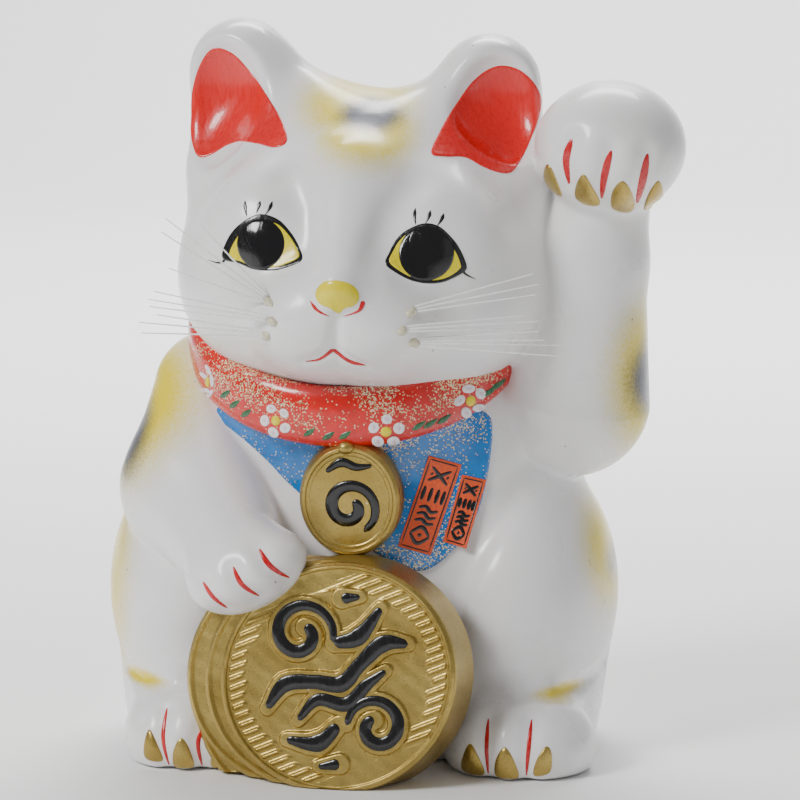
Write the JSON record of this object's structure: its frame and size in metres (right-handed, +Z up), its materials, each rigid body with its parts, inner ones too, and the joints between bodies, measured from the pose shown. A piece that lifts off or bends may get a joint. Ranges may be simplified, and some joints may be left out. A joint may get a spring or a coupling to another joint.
{
  "type": "beckoning cat figurine",
  "caption": "Hollow glazed ceramic cat, seated, a forepaw raised and the other on a fan of oval gold coins, with collar, bib, medallion, paper seals and bristle whiskers.",
  "frame": {"origin": "on the flat foot the cat stands on, under the middle of the neck", "axes": "the cat faces -Y, its raised foreleg is on +X, +Z is up"},
  "size_m": [0.2338, 0.1771, 0.2906],
  "materials": {
    "glazed_ceramic": "gloss white glaze with sprayed yellow and charcoal patches",
    "bare_ceramic": "unglazed, matt",
    "stopper_rubber": "matt",
    "collar_enamel": "gloss red enamel with gold flakes",
    "bib_enamel": "gloss blue enamel with gold flakes",
    "gold_paint": "satin gold paint",
    "black_enamel": "gloss black enamel",
    "seal_paper": "printed paper under varnish",
    "glue": "clear yellowish glue",
    "bristle": "translucent nylon"
  },
  "bodies": {
    "figure": {"body_casting": "glazed_ceramic", "head_casting": "glazed_ceramic", "raised_foreleg": "glazed_ceramic", "lowered_foreleg": "glazed_ceramic", "base_slab": "bare_ceramic", "collar": "collar_enamel", "bib": "bib_enamel", "medallion": "gold_paint", "medallion_ornament": "black_enamel", "coin_front": "gold_paint", "coin_ornament": "black_enamel", "coin_second": "gold_paint", "coin_third": "gold_paint", "coin_fourth": "gold_paint", "paper_seal_large": "seal_paper", "paper_seal_small": "seal_paper", "glue_bead_left_upper": "glue", "glue_bead_left_middle": "glue", "glue_bead_left_lower": "glue", "glue_bead_right_upper": "glue", "glue_bead_right_middle": "glue", "glue_bead_right_lower": "glue", "whisker_left_upper_1": "bristle", "whisker_left_upper_2": "bristle", "whisker_left_upper_3": "bristle", "whisker_left_upper_4": "bristle", "whisker_left_middle_1": "bristle", "whisker_left_middle_2": "bristle", "whisker_left_middle_3": "bristle", "whisker_left_lower_1": "bristle", "whisker_left_lower_2": "bristle", "whisker_left_lower_3": "bristle", "whisker_right_upper_1": "bristle", "whisker_right_upper_2": "bristle", "whisker_right_upper_3": "bristle", "whisker_right_middle_1": "bristle", "whisker_right_middle_2": "bristle", "whisker_right_middle_3": "bristle", "whisker_right_lower_1": "bristle", "whisker_right_lower_2": "bristle", "whisker_right_lower_3": "bristle", "whisker_right_lower_4": "bristle"},
    "stopper": {"base_stopper": "stopper_rubber"}
  },
  "joints": [
    {"name": "stopper_slide", "type": "slide", "parent": "figure", "child": "stopper", "axis": [0, 0, -1], "range_m": [0, 0.03]}
  ]
}
